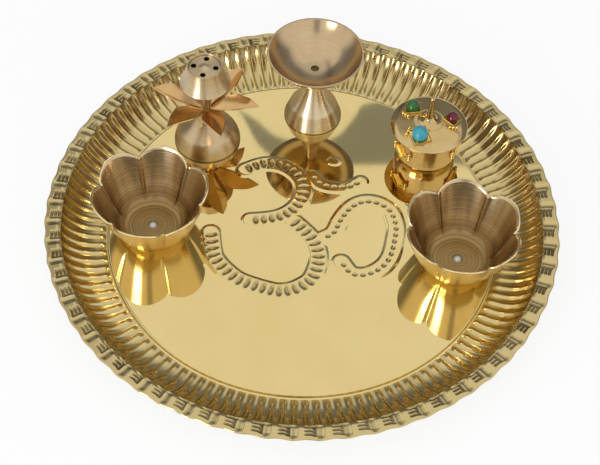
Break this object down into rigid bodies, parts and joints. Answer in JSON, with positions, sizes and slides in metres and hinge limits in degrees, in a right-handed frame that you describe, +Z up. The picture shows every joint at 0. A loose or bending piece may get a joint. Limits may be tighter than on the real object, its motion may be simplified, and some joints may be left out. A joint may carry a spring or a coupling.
{
  "type": "puja thali",
  "caption": "Round brass puja tray with fluted wall and punched rim, carrying flower bowls, an oil lamp, a lotus incense holder and a lidded vermilion box.",
  "frame": {"origin": "centre of the tray's foot ring, on the table", "axes": "+Z up out of the tray, +Y towards the oil lamp at the back, +X towards the right bowl"},
  "size_m": [0.28, 0.28, 0.0625],
  "materials": {
    "tray_brass": "mirror polished",
    "bowl_brass": "brushed, lacquered",
    "turned_brass": "turned and polished",
    "lotus_brass": "satin",
    "tie_brass": "tarnished",
    "gilt": "gilt",
    "rivet_aluminium": "hammered",
    "turquoise_glass": "polished",
    "green_glass": "polished",
    "red_glass": "polished"
  },
  "bodies": {
    "thali": {"tray": "tray_brass", "bowl_left": "bowl_brass", "bowl_right": "bowl_brass", "bowl_rivet_left": "rivet_aluminium", "bowl_rivet_right": "rivet_aluminium", "box_rivet": "rivet_aluminium", "lamp_pedestal": "turned_brass", "lamp_dish": "turned_brass", "lamp_rivet": "tie_brass", "incense_base": "turned_brass", "incense_lotus": "lotus_brass", "incense_head": "turned_brass", "incense_plug": "turned_brass", "incense_rod": "tie_brass", "box_pot": "turned_brass", "pot_ornament_left": "gilt", "pot_ornament_right": "gilt", "pot_ornament_back": "gilt"},
    "lid": {"box_lid": "turned_brass", "setting_turquoise": "gilt", "setting_green": "gilt", "setting_red": "gilt", "stone_turquoise": "turquoise_glass", "stone_green": "green_glass", "stone_red": "red_glass"}
  },
  "joints": [
    {"name": "lid_lift", "type": "slide", "parent": "thali", "child": "lid", "axis": [0, 0, 1], "range_m": [0, 0.06]}
  ]
}
